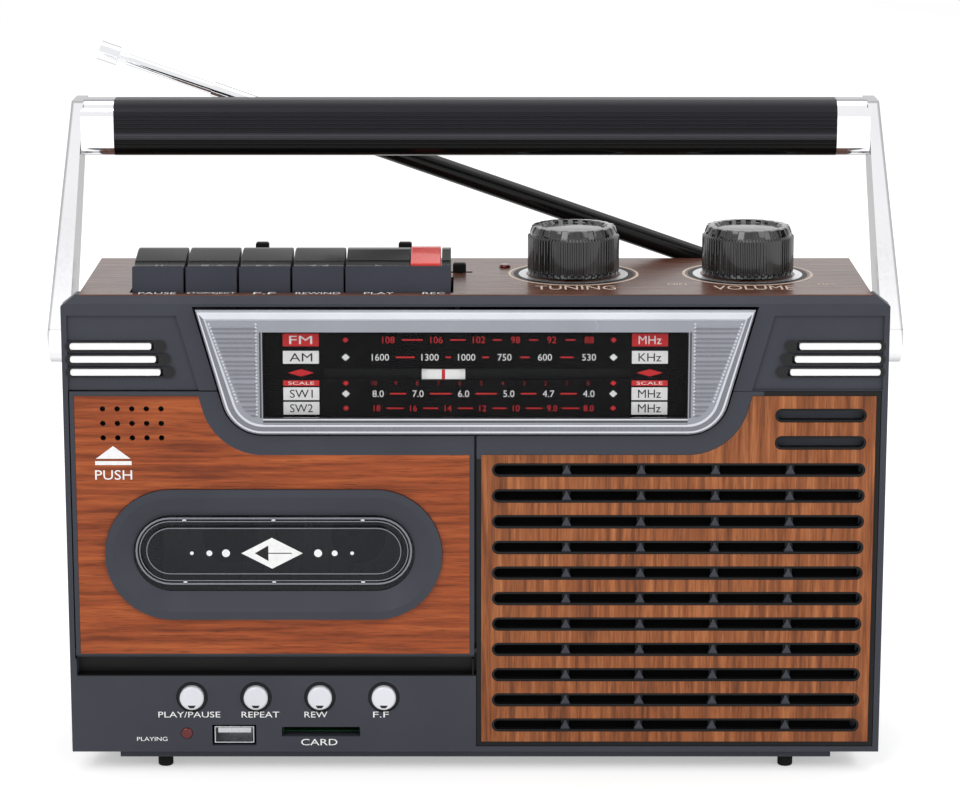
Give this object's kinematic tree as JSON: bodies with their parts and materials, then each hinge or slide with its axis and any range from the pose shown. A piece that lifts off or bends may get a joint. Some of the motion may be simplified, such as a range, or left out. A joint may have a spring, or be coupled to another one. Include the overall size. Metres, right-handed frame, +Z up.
{
  "type": "radio cassette player",
  "caption": "Portable radio cassette player with wood-veneered front, piano keys, dial window, carrying handle, fold-down antenna and speaker grille",
  "frame": {"origin": "on the table under the middle of the object, at the feet's lower faces", "axes": "+X to the right seen from the front, +Y to the back, +Z up"},
  "size_m": [0.282, 0.0815, 0.2336],
  "materials": {
    "cabinet_plastic": "satin",
    "black_plastic": "matt",
    "wood_veneer": "satin",
    "rubber": "matt",
    "steel": "brushed",
    "white_plastic": "gloss",
    "clear_plastic": "clear",
    "dial_print": "printed",
    "paper_cone": "matt",
    "circuit_board": "matt",
    "red_lens": "gloss",
    "key_plastic": "satin",
    "red_plastic": "gloss",
    "brass": "turned",
    "grip_plastic": "satin",
    "chrome": "polished"
  },
  "bodies": {
    "cabinet": {"front_cabinet": "cabinet_plastic", "rear_cabinet": "cabinet_plastic", "rear_cabinet_top": "cabinet_plastic", "battery_bay": "cabinet_plastic", "top_deck": "wood_veneer", "base_plate": "cabinet_plastic", "feet": "rubber", "screws_and_studs": "steel", "grille_panel": "black_plastic", "grille_veneer": "wood_veneer", "louvre_strips": "white_plastic", "dial_lens": "clear_plastic", "dial_tray": "black_plastic", "dial_scale": "dial_print", "speaker_driver": "steel", "speaker_cone": "paper_cone", "main_board": "circuit_board", "media_board": "circuit_board", "usb_socket": "steel", "indicator_leds": "red_lens", "mechanism_chassis": "steel", "tape_motor": "steel", "drive_belt": "rubber", "battery_contacts": "steel", "rear_jacks": "black_plastic"},
    "door": {"door_frame": "cabinet_plastic", "door_veneer": "wood_veneer", "door_window": "clear_plastic", "cassette_pocket": "black_plastic"},
    "pointer": {"dial_pointer": "dial_print"},
    "tuning": {"tuning_knob": "key_plastic", "tuning_drum": "key_plastic"},
    "volume": {"volume_knob": "key_plastic"},
    "supply_reel": {"supply_reel": "black_plastic"},
    "takeup_reel": {"takeup_reel": "black_plastic"},
    "flywheel": {"flywheel": "brass"},
    "motor_pulley": {"motor_pulley": "steel"},
    "head_plate": {"head_plate": "steel"},
    "key_pause": {"key_pause": "key_plastic"},
    "key_stop_eject": {"key_stop_eject": "key_plastic"},
    "key_fast_forward": {"key_fast_forward": "key_plastic"},
    "key_rewind": {"key_rewind": "key_plastic"},
    "key_play": {"key_play": "key_plastic"},
    "key_record": {"key_record": "red_plastic"},
    "push_button_1": {"push_button_1": "white_plastic"},
    "push_button_2": {"push_button_2": "white_plastic"},
    "push_button_3": {"push_button_3": "white_plastic"},
    "push_button_4": {"push_button_4": "white_plastic"},
    "band_lever": {"band_switch_lever": "black_plastic"},
    "function_lever": {"function_switch_lever": "black_plastic"},
    "tone_lever": {"tone_switch_lever": "black_plastic"},
    "handle": {"handle_grip": "grip_plastic", "handle_arm_left": "chrome", "handle_arm_right": "chrome"},
    "antenna_base": {"antenna_base": "chrome"},
    "antenna_1": {"antenna_section_1": "chrome"},
    "antenna_2": {"antenna_section_2": "chrome"},
    "antenna_3": {"antenna_section_3": "chrome"},
    "antenna_4": {"antenna_section_4": "chrome"},
    "battery_door": {"battery_door": "cabinet_plastic"}
  },
  "joints": [
    {"name": "door_hinge", "type": "hinge", "parent": "cabinet", "child": "door", "pos_m": [0, -0.03615, 0.0414], "axis": [1, 0, 0], "range_deg": [0, 32]},
    {"name": "key_pause_press", "type": "hinge", "parent": "cabinet", "child": "key_pause", "pos_m": [0, -0.00875, 0.153], "axis": [1, 0, 0], "range_deg": [0, 9], "stiffness_Nm_per_rad": 0.25, "springref_deg": -5.73},
    {"name": "key_stop_eject_press", "type": "hinge", "parent": "cabinet", "child": "key_stop_eject", "pos_m": [0, -0.00875, 0.153], "axis": [1, 0, 0], "range_deg": [0, 9], "stiffness_Nm_per_rad": 0.25, "springref_deg": -5.73},
    {"name": "key_fast_forward_press", "type": "hinge", "parent": "cabinet", "child": "key_fast_forward", "pos_m": [0, -0.00875, 0.153], "axis": [1, 0, 0], "range_deg": [0, 9], "stiffness_Nm_per_rad": 0.25, "springref_deg": -5.73},
    {"name": "key_rewind_press", "type": "hinge", "parent": "cabinet", "child": "key_rewind", "pos_m": [0, -0.00875, 0.153], "axis": [1, 0, 0], "range_deg": [0, 9], "stiffness_Nm_per_rad": 0.25, "springref_deg": -5.73},
    {"name": "key_play_press", "type": "hinge", "parent": "cabinet", "child": "key_play", "pos_m": [0, -0.00875, 0.153], "axis": [1, 0, 0], "range_deg": [0, 9], "stiffness_Nm_per_rad": 0.25, "springref_deg": -5.73},
    {"name": "key_record_press", "type": "hinge", "parent": "cabinet", "child": "key_record", "pos_m": [0, -0.00875, 0.153], "axis": [1, 0, 0], "range_deg": [0, 5], "stiffness_Nm_per_rad": 0.25, "springref_deg": -5.73},
    {"name": "tuning_turn", "type": "hinge", "parent": "cabinet", "child": "tuning", "pos_m": [0.0325, 0.00225, 0.16], "axis": [0, 0, -1], "range_deg": [-71.73, 120.21]},
    {"name": "pointer_slide", "type": "slide", "parent": "cabinet", "child": "pointer", "axis": [1, 0, 0], "range_m": [-0.03285, 0.05485]},
    {"name": "volume_turn", "type": "hinge", "parent": "cabinet", "child": "volume", "pos_m": [0.0903, 0.00225, 0.16], "axis": [0, 0, -1], "range_deg": [-100, 200]},
    {"name": "band_switch_slide", "type": "slide", "parent": "cabinet", "child": "band_lever", "axis": [1, 0, 0], "range_m": [-0.0045, 0.0045]},
    {"name": "function_switch_slide", "type": "slide", "parent": "cabinet", "child": "function_lever", "axis": [1, 0, 0], "range_m": [-0.003, 0.003]},
    {"name": "tone_switch_slide", "type": "slide", "parent": "cabinet", "child": "tone_lever", "axis": [1, 0, 0], "range_m": [-0.003, 0.003]},
    {"name": "button_1_press", "type": "slide", "parent": "cabinet", "child": "push_button_1", "axis": [0, 1, 0], "range_m": [0, 0.001], "stiffness_N_per_m": 300, "springref_m": -0.001},
    {"name": "button_2_press", "type": "slide", "parent": "cabinet", "child": "push_button_2", "axis": [0, 1, 0], "range_m": [0, 0.001], "stiffness_N_per_m": 300, "springref_m": -0.001},
    {"name": "button_3_press", "type": "slide", "parent": "cabinet", "child": "push_button_3", "axis": [0, 1, 0], "range_m": [0, 0.001], "stiffness_N_per_m": 300, "springref_m": -0.001},
    {"name": "button_4_press", "type": "slide", "parent": "cabinet", "child": "push_button_4", "axis": [0, 1, 0], "range_m": [0, 0.001], "stiffness_N_per_m": 300, "springref_m": -0.001},
    {"name": "handle_fold", "type": "hinge", "parent": "cabinet", "child": "handle", "pos_m": [0, 0.00125, 0.1425], "axis": [1, 0, 0], "range_deg": [-20, 40]},
    {"name": "antenna_swivel", "type": "hinge", "parent": "cabinet", "child": "antenna_base", "pos_m": [0.0895, 0.03635, 0.1553], "axis": [0, 0, 1], "range_deg": [-180, 0]},
    {"name": "antenna_tilt", "type": "hinge", "parent": "antenna_base", "child": "antenna_1", "pos_m": [0.0895, 0.03635, 0.1553], "axis": [0, 1, 0], "range_deg": [-19.2, 70.8]},
    {"name": "antenna_slide_1", "type": "slide", "parent": "antenna_1", "child": "antenna_2", "axis": [-0.9444, 0, 0.3289], "range_m": [-0.0407, 0.079]},
    {"name": "antenna_slide_2", "type": "slide", "parent": "antenna_2", "child": "antenna_3", "axis": [-0.9444, 0, 0.3289], "range_m": [-0.0297, 0.085]},
    {"name": "antenna_slide_3", "type": "slide", "parent": "antenna_3", "child": "antenna_4", "axis": [-0.9444, 0, 0.3289], "range_m": [-0.0027, 0.107]},
    {"name": "battery_door_hinge", "type": "hinge", "parent": "cabinet", "child": "battery_door", "pos_m": [0, 0.039, 0.01125], "axis": [1, 0, 0], "range_deg": [-75, 0]},
    {"name": "supply_reel_spin", "type": "hinge", "parent": "cabinet", "child": "supply_reel", "pos_m": [-0.08125, -0.01655, 0.0753], "axis": [0, 1, 0], "continuous": true},
    {"name": "flywheel_spin", "type": "hinge", "parent": "cabinet", "child": "flywheel", "pos_m": [-0.027, -0.01305, 0.1016], "axis": [0, 1, 0], "continuous": true},
    {"name": "motor_spin", "type": "hinge", "parent": "cabinet", "child": "motor_pulley", "pos_m": [-0.098, -0.01305, 0.1003], "axis": [0, 1, 0], "continuous": true},
    {"name": "takeup_reel_spin", "type": "hinge", "parent": "cabinet", "child": "takeup_reel", "pos_m": [-0.03875, -0.01655, 0.0753], "axis": [0, 1, 0], "continuous": true},
    {"name": "head_slide", "type": "slide", "parent": "cabinet", "child": "head_plate", "axis": [0, 0, -1], "range_m": [0, 0.0073]}
  ],
  "couplings": [
    {"joint": "pointer_slide", "follows": "tuning_turn", "m_per_rad": 0.026},
    {"joint": "motor_spin", "follows": "flywheel_spin", "ratio": 4.75},
    {"joint": "takeup_reel_spin", "follows": "flywheel_spin", "ratio": 0.2},
    {"joint": "head_slide", "follows": "key_play_press", "m_per_rad": 0.043672}
  ]
}
